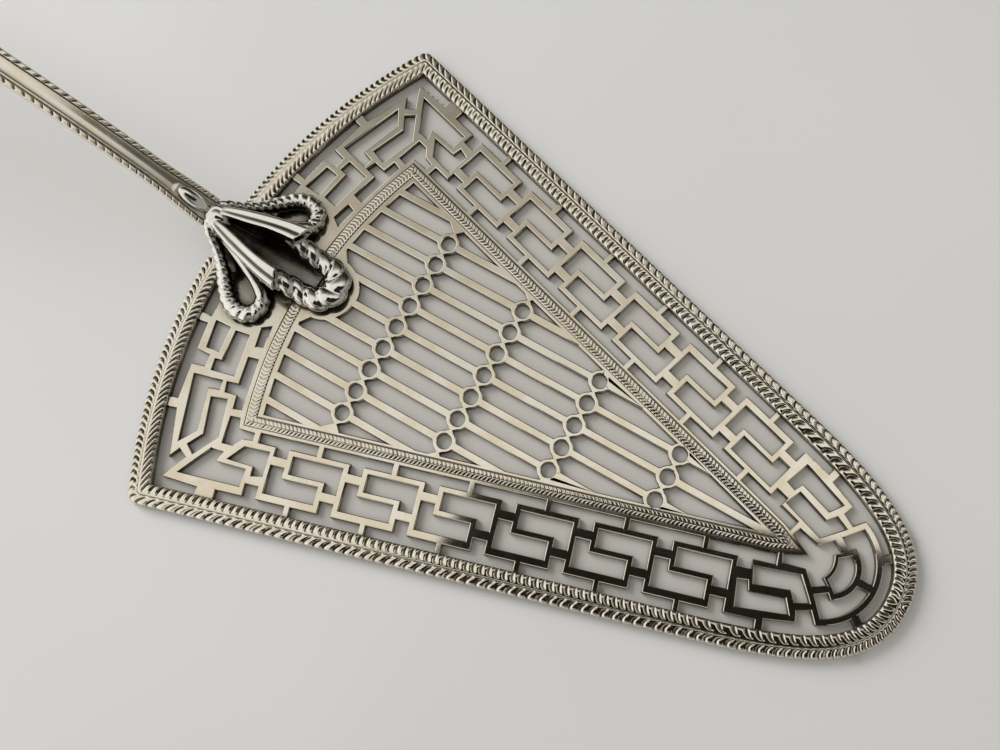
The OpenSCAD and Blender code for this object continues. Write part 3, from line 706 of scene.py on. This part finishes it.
class SLICE_OT_handle(Operator):
    """Carves the stem with its feathered edges, grooves and flute, and sets the bead on it"""
    bl_idname = "slice.handle"
    bl_label = "Handle"

    def execute(self, context):
        finish, sizes = context.scene.slice_finish, context.scene.slice_cuts
        pitch = sizes.stem_pitch / MM
        t = np.linspace(0, 1, 900)
        at, along = cubic(STEM_CURVE, t)
        s = (t * STEM_LEN)[:, None]
        h = half_width(s)
        thick = STEM_T + (END_T - STEM_T) * smooth(s / STEM_LEN)
        # Across half the top from the edge inwards, with more points near the edge
        near = np.minimum(1.85, 0.8 * h)
        from_edge = np.concatenate([near * np.linspace(0, 1, 20),
                                    near + (h - near) * np.linspace(0.1, 1, 9)], 1)
        across = h - from_edge
        # 0 on the plain rounded end and 1 before it
        plain = smooth((STEM_LEN - END_W / 2 - 4 - s) / 6)
        lean = CUT_LEAN * np.minimum(1, np.minimum(s, STEM_LEN - s) / 5)
        cut, slope = leaves((s - lean * from_edge) / pitch, CUT_SIZE, 7)
        band = smooth((CUTS_TO - from_edge) / 0.2) * smooth((from_edge - 0.10) / 0.25) * plain
        groove = np.exp(-((from_edge - GROOVE_AT) / GROOVE_W) ** 2) * plain
        flute = np.clip(1 - (across / np.maximum(h - FLUTE_FROM, 0.3)) ** 2, 0, 1)
        flute = flute * smooth((s - FLUTE_START) / 1.2) * plain
        roll = ROLL_H * np.sqrt(np.clip(1 - ((from_edge - ROLL_AT) / 0.6) ** 2, 0, 1)) * plain
        ridge = RIDGE_H * np.exp(-((from_edge - RIDGE_AT) / RIDGE_W) ** 2) * plain
        shoulder = -0.16 * thick * (1 - smooth(from_edge / 0.3))
        # Height over the stem's curve: shoulder, roll and ridge, less the flute, the groove and the cuts
        z = (shoulder + roll + ridge - FLUTE_DEEP * flute - GROOVE_DEEP * groove
             + (CUT_RISE * slope - CUT_DEEP * cut) * band)
        soil = np.maximum(cut * band, groove)
        # Underside as a flat arch: a half circle of cosines across, and a sine with a power below 1 down
        turn = np.linspace(0, np.pi, 13)[1:-1][None, :]
        under_y = -h * 0.985 * np.cos(turn)
        under_z = -0.45 * thick - 0.55 * thick * np.sin(turn) ** 0.7
        top_y = np.concatenate([across, -across[:, -2::-1]], 1)
        top_z = np.concatenate([z, z[:, -2::-1]], 1)
        y = np.concatenate([top_y, under_y], 1)
        up = np.concatenate([top_z, under_z], 1)
        stain = np.concatenate([soil, soil[:, -2::-1], np.zeros_like(under_y)], 1)
        # Each section stands square to the curve
        x = at[:, :1] + up * along[:, 1:]
        height = at[:, 1:] - up * along[:, :1]
        points = np.stack([x, y, height], -1)
        piece = grid_mesh("feathered_stem", points, closed=True, capped=True, soil=stain)
        material = silver("stem_silver", finish.silver, finish.tarnish_and_shade, finish.brushed, 0.8 * MM,
                          soiled=(0.3, 0.8), worn=0.08, metallic=0.85)
        dress(piece, material, "stem_silver", "handle")
        self.bead(finish)
        return {"FINISHED"}

    def bead(self, finish):
        """Sets a drop at the foot of the flute: an ellipse turned about the stem's curve, narrower near the
        mount."""
        u = np.linspace(-1, 1, 60)[:, None]
        at, _ = cubic(STEM_CURVE, (BEAD_AT + BEAD_L * u[:, 0]) / STEM_LEN)
        turn = full_turn(32)
        r = np.sqrt(np.maximum(1 - u ** 2, 1e-4)) * (1 + 0.15 * u)
        path = np.stack([at[:, 0], np.zeros(len(u)), at[:, 1]], -1)
        shape = tube(path, BEAD_W * r * np.cos(turn), BEAD_H * r * np.sin(turn) + 0.1)
        piece = grid_mesh("stem_bead", shape, closed=True, capped=True)
        material = silver("bead_silver", finish.bright, finish.tarnish_and_shade, finish.polish, 2.5 * MM, worn=0.03)
        dress(piece, material, "stem_silver")


# The cast mount: its bars as stations of x, y, z, half width and half height in mm, for the side at +Y where
# both sides have one

LOOP_Z = SHEET_T + 0.85 * LOOP_R
ROPE = [[-0.3, 1.6, 10.6, 0.7, 0.7], [1.2, 3.2, 9.6, 0.95, 0.95], [3.4, 4.9, 7.2, 1.15, 1.15],
        [5.5, 7.2, 4.9, 1.4, 1.4], [7.4, 9.8, LOOP_Z + 0.5, 1.65, 1.65], [9.6, 12.1, LOOP_Z, 1.8, 1.75],
        [12.2, 13.1, LOOP_Z, 1.85, 1.75], [14.6, 12.5, LOOP_Z, 1.85, 1.75], [15.7, 10.6, LOOP_Z, 1.75, 1.75],
        [15.5, 8.7, LOOP_Z + 0.4, 1.6, 1.75], [14.4, 7.2, LOOP_Z + 1.4, 1.4, 1.6]]
ARM = [[15.4, 8.2, LOOP_Z + 1.0, 1.4, 1.4], [13.2, 6.5, LOOP_Z + 2.1, 1.35, 1.4], [10.2, 5.1, 6.6, 1.15, 1.4],
       [6.4, 3.6, 8.4, 0.95, 1.2], [2.6, 2.2, 10.0, 0.8, 0.9], [0.4, 1.2, 10.6, 0.6, 0.7]]
FRONT = [[14.0, 4.3, 6.4, 1.8, 1.2], [16.4, 4.2, 5.7, 2.0, 1.5], [18.6, 3.9, 4.6, 2.15, 1.7],
         [20.6, 3.7, LOOP_Z + 0.5, 2.25, 1.8], [22.6, 3.7, LOOP_Z, 2.3, 1.9], [24.8, 3.2, LOOP_Z, 2.6, 2.0],
         [26.3, 1.8, LOOP_Z, 2.9, 2.0], [26.8, 0.0, LOOP_Z, 3.0, 2.0]]
LOBE = [[0.2, 0.9, 10.5, 0.75, 0.7], [3.0, 1.8, 10.4, 1.15, 0.9], [7.0, 2.9, 10.1, 1.5, 1.1],
        [11.0, 3.9, 9.6, 1.6, 1.5], [14.4, 4.6, 9.2, 1.85, 1.75], [17.6, 5.0, 8.8, 2.05, 1.9]]
GUSSET = [[1.0, 2.1, 8.6, 0.8, 0.8], [3.4, 3.7, 6.4, 1.5, 1.2], [5.6, 5.3, 4.6, 1.9, 1.4],
          [7.4, 6.6, 3.2, 1.2, 1.0]]
WALL = [[0.8, 1.3, 8.6, 0.7, 2.0], [4.0, 1.9, 7.6, 0.8, 2.6], [8.4, 2.9, 6.0, 0.9, 3.6],
        [12.0, 3.9, 5.2, 1.0, 3.8], [14.6, 4.6, 4.4, 0.9, 3.0]]
COLLAR = [[1.6, 1.5, 10.5, 0.7, 0.7], [0.3, 1.2, 10.9, 0.75, 0.75], [-0.2, 0.0, 11.0, 0.8, 0.8],
          [0.3, -1.2, 10.9, 0.75, 0.75], [1.6, -1.5, 10.5, 0.7, 0.7]]
SEAT = [[-0.9, 0.0, 10.3, 1.3, 0.9], [0.6, 0.0, 10.5, 1.7, 1.2], [2.2, 0.0, 10.0, 1.3, 1.0],
        [3.8, 0.0, 8.8, 0.6, 0.6]]
WEB = [[0.6, 0.0, 9.0, 2.0, 1.5], [4.0, 0.0, 5.4, 2.4, 1.6], [7.5, 0.0, 2.6, 3.0, 1.4],
       [11.0, 0.0, 1.7, 3.6, 0.8], [15.0, 0.0, 1.5, 3.2, 0.5], [23.0, 0.0, 1.4, 2.6, 0.35]]
LOBE_RINGS = 90
LOBE_SIDES = 44
HOLLOW_RINGS = 25
FLUTES_DEEP = 0.19
VOXEL = 0.18


def lobe_shell():
    """Fluted lobe: along its top the ring's radius rises to two ridges with a hollow between them. The flared
    end is cut at a slant, and there the surface turns in and runs back as a hollow."""
    # The radius is 1 less the flutes' depth times a cosine of the angle from the top, on the top only
    line = spline(LOBE, LOBE_RINGS)
    share = np.linspace(0, 1, LOBE_RINGS)[:, None]
    turn = full_turn(LOBE_SIDES)
    top = smooth((np.sin(turn) + 0.25) / 0.7)
    flutes = 1 - FLUTES_DEEP * top * np.cos(4.4 * (turn - np.pi / 2)) * smooth(share * 4)
    across, above = line[:, 3:4] * flutes * np.cos(turn), line[:, 4:5] * flutes * np.sin(turn)
    # Points are moved back along the lobe in proportion to their distance across it
    slant = 0.55 * smooth((share - 0.45) / 0.55)
    along = unit(np.gradient(line[:, :3], axis=0))[:, None, :]
    back = (slant * across)[..., None] * along
    outside = tube(line[:, :3], across, above) - back
    hollow = tube(line[:, :3], across * 0.74, above * 0.70) - back
    return np.concatenate([outside, hollow[:-HOLLOW_RINGS - 1:-1]])


class SLICE_OT_mount(Operator):
    """Casts the mount: loops, arms, webs and fluted lobes melted into one skin"""
    bl_idname = "slice.mount"
    bl_label = "Cast mount"

    def execute(self, context):
        finish = context.scene.slice_finish
        front = np.array(FRONT)
        front = np.concatenate([front, (front * [1, -1, 1, 1, 1])[-2::-1]])
        halves = [rope(ROPE, 300, pitch=1.7, deep=0.20, twist=2.0), rope(ARM, 90), rope(WALL, 60),
                  rope(GUSSET, 60), lobe_shell()]
        shells = halves + [half * [1, -1, 1] for half in halves]
        shells += [rope(front, 320, pitch=3.0, deep=0.22, twist=2.0, fade=2.0),
                   rope(COLLAR, 40), rope(SEAT, 40), rope(WEB, 80)]
        parts = [grid_mesh("shell", shell, closed=True, capped=True) for shell in shells]
        with context.temp_override(active_object=parts[0], selected_editable_objects=parts):
            bpy.ops.object.join()
        piece = parts[0]
        piece.name = piece.data.name = "cast_mount"
        skin = piece.modifiers.new("skin", "REMESH")
        skin.mode = "VOXEL"
        skin.voxel_size = VOXEL * MM
        skin.use_smooth_shade = True
        soften = piece.modifiers.new("soften", "SMOOTH")
        soften.factor = 0.5
        soften.iterations = 3
        # Painted shade, with patina: the long reach of 11 mm darkens the channels between the lobes and the
        # loops' holes as deep shadow
        material = silver("cast_silver", finish.bright, finish.tarnish_and_shade, finish.polish, 11 * MM,
                          worn=0.03, shaded=(0.40, 0.90))
        dress(piece, material, "cast_silver", "scroll_mount")
        return {"FINISHED"}


# The stage: directions over the floor of the photograph's left side and its top, places and sizes in metres

LEFT = (-0.864, -0.503)
TOP = (-0.48, 0.84)
FLOOR_HALF = 3
CARD_Z = 0.21
CARD = [(0.042, -0.18, CARD_Z), (0.32, -0.18, CARD_Z), (0.32, 0.107, CARD_Z), (0.042, 0.004, CARD_Z)]
WINDOW_AT = (-0.85, 0.12, 0.62)
WINDOW_SIZE = 0.6
LAMP_AIM = (0.05, 0, 0)

# Colours of the painted shadow on the floor below the slice, of the card, and of the backdrop behind the
# floor's edge
SHADOW_UNDER_SLICE = (0.30, 0.26, 0.20)
CARD_BLACK = (0.01, 0.009, 0.007)
BACKDROP = (0.67, 0.66, 0.64)

# The photograph's camera: its lens and place in mm, and its directions to the right and backwards
LENS = 38.1165
CAMERA_AT = (96.788, -40.725, 199.037)
CAMERA_RIGHT = (0.86362, 0.50276, -0.03724)
CAMERA_BACK = (0.16167, -0.20622, 0.96506)


def flat_piece(name, corners):
    """Single face with these four corners."""
    mesh = bpy.data.meshes.new(name)
    mesh.from_pydata(corners, [], [(0, 1, 2, 3)])
    return add_object(name, mesh)


class SLICE_OT_stage(Operator):
    """Sets the floor, the light and the camera"""
    bl_idname = "slice.stage"
    bl_label = "Stage"

    def execute(self, context):
        stage = context.scene.slice_stage
        self.floor(stage)
        self.card()
        self.room(context, stage)
        self.lamp("window", WINDOW_AT, WINDOW_SIZE, stage.window)
        self.camera(context)
        context.scene.view_settings.view_transform = "Standard"
        return {"FINISHED"}

    def floor(self, stage):
        """Glossy floor, with faint clouds, and a painted shadow below the slice."""
        floor = flat_piece("floor", [(FLOOR_HALF * x, FLOOR_HALF * y, 0)
                                     for x, y in ((-1, -1), (1, -1), (1, 1), (-1, 1))])
        material, surface = shader("floor_gloss", 0.22, metallic=0.0)
        surface.inputs["Specular IOR Level"].default_value = 0.35
        n = Nodes(material.node_tree)
        axis = n.add("ShaderNodeSeparateXYZ")
        place = n.add("ShaderNodeTexCoord").outputs["Object"]
        n.link(place, axis.inputs[0])
        x, y, _ = axis.outputs
        clouds = n.ramp(n.noise(place, 9.0, 2.0), 0.3, 0.7)
        plain = n.mix(clouds, tuple(0.97 * c for c in stage.floor), tuple(stage.floor))
        # How far past the blade's sides, bowed back or tip a point is, below 0 inside them
        out = n.weigh(x, SIDE_OUT[0], n.math("ABSOLUTE", y), SIDE_OUT[1])
        side = n.math("SUBTRACT", out, REACH * MM)
        bow = n.math("SUBTRACT", n.math("MULTIPLY", n.math("MULTIPLY", y, y), 0.5 / (BACK_R * MM)), x)
        tip = n.math("SUBTRACT", x, BLADE_L * MM)
        past = n.math("MAXIMUM", n.math("MAXIMUM", side, bow), tip)
        # Painted shadow: inside the blade's outline the floor, seen through the openings, is darkened as if
        # in the sheet's shade
        painted_shadow = n.ramp(past, -5 * MM, -2 * MM, 0.42, 0.0)
        n.link(n.mix(painted_shadow, plain, SHADOW_UNDER_SLICE), surface.inputs["Base Color"])
        floor.data.materials.append(material)

    def card(self):
        """Dark card above the tip, where the camera is held: only mirrored, and never seen itself."""
        card = flat_piece("card", CARD)
        card.visible_camera = card.visible_diffuse = card.visible_shadow = False
        material, surface = shader("card_black", 1.0, metallic=0.0)
        surface.inputs["Base Color"].default_value = (*CARD_BLACK, 1)
        card.data.materials.append(material)

    def room(self, context, stage):
        """World light by direction: bright from the left of the photograph and from above, less so above its
        top, faint past the slice's tip and dark elsewhere. The camera sees an even backdrop instead."""
        world = bpy.data.worlds.new("room")
        context.scene.world = world
        world.use_nodes = True
        n = Nodes(world.node_tree)
        background = world.node_tree.nodes["Background"]
        axis = n.add("ShaderNodeSeparateXYZ")
        n.link(n.add("ShaderNodeTexCoord").outputs["Generated"], axis.inputs[0])
        x, y, z = axis.outputs
        left = n.ramp(n.weigh(x, LEFT[0], y, LEFT[1]), 0.05, 0.65)
        top = n.ramp(n.weigh(x, TOP[0], y, TOP[1]), 0.15, 0.6, 1.0, 0.2)
        over = n.math("MULTIPLY", n.ramp(z, 0.45, 0.93, 0.0, 0.85), top)
        beyond_tip = n.ramp(x, 0.30, 0.75, 0.0, 0.3)
        level = n.math("MAXIMUM", n.math("MAXIMUM", over, beyond_tip), left)
        colour = n.mix(level, tuple(stage.dark), tuple(stage.bright))
        path = n.add("ShaderNodeLightPath")
        seen = n.mix(path.outputs["Is Camera Ray"], colour, BACKDROP)
        n.link(seen, background.inputs["Color"])
        background.inputs["Strength"].default_value = stage.room

    def lamp(self, name, place, size, power):
        """Square soft lamp aimed at the blade, which isn't mirrored."""
        light = bpy.data.lights.new(name, "AREA")
        light.size = size
        light.energy = power
        lamp = add_object(name, light)
        lamp.location = place
        lamp.visible_glossy = False
        aim = Vector(LAMP_AIM) - Vector(place)
        lamp.rotation_euler = aim.to_track_quat("-Z", "Y").to_euler()

    def camera(self, context):
        """The photograph's camera."""
        data = bpy.data.cameras.new("camera")
        data.sensor_width = 36
        data.lens = LENS
        data.clip_start = 0.01
        right, back = Vector(CAMERA_RIGHT).normalized(), Vector(CAMERA_BACK).normalized()
        up = back.cross(right).normalized()
        right = up.cross(back)
        turn = Matrix((right, up, back)).transposed().to_4x4()
        camera = add_object("camera", data)
        camera.matrix_world = Matrix.Translation(Vector(CAMERA_AT) * MM) @ turn
        context.scene.camera = camera


# The add-on

class SLICE_PT_sidebar(Panel):
    """Lists the steps that build the fish slice"""
    bl_idname = "SLICE_PT_sidebar"
    bl_label = "Fish slice"
    bl_space_type = "VIEW_3D"
    bl_region_type = "UI"
    bl_category = "Fish slice"

    def draw(self, context):
        for operator in OPERATORS:
            self.layout.operator(operator.bl_idname)
        for group in SETTINGS:
            settings = getattr(context.scene, group)
            box = self.layout.box()
            for key in settings.bl_rna.properties.keys():
                if key not in ("rna_type", "name"):
                    box.prop(settings, key)


OPERATORS = (SLICE_OT_sheet, SLICE_OT_border, SLICE_OT_band, SLICE_OT_mount, SLICE_OT_handle, SLICE_OT_stage)
SETTINGS = {"slice_finish": SliceFinish, "slice_cuts": SliceCuts, "slice_stage": SliceStage}


def register():
    for cls in (*SETTINGS.values(), *OPERATORS, SLICE_PT_sidebar):
        bpy.utils.register_class(cls)
    for name, group in SETTINGS.items():
        setattr(bpy.types.Scene, name, PointerProperty(type=group))


def unregister():
    for name in SETTINGS:
        delattr(bpy.types.Scene, name)
    for cls in reversed((*SETTINGS.values(), *OPERATORS, SLICE_PT_sidebar)):
        bpy.utils.unregister_class(cls)


def main():
    register()
    bpy.ops.slice.sheet()
    bpy.ops.slice.border()
    bpy.ops.slice.band()
    bpy.ops.slice.mount()
    bpy.ops.slice.handle()
    bpy.ops.slice.stage()


if __name__ == "__main__":
    main()
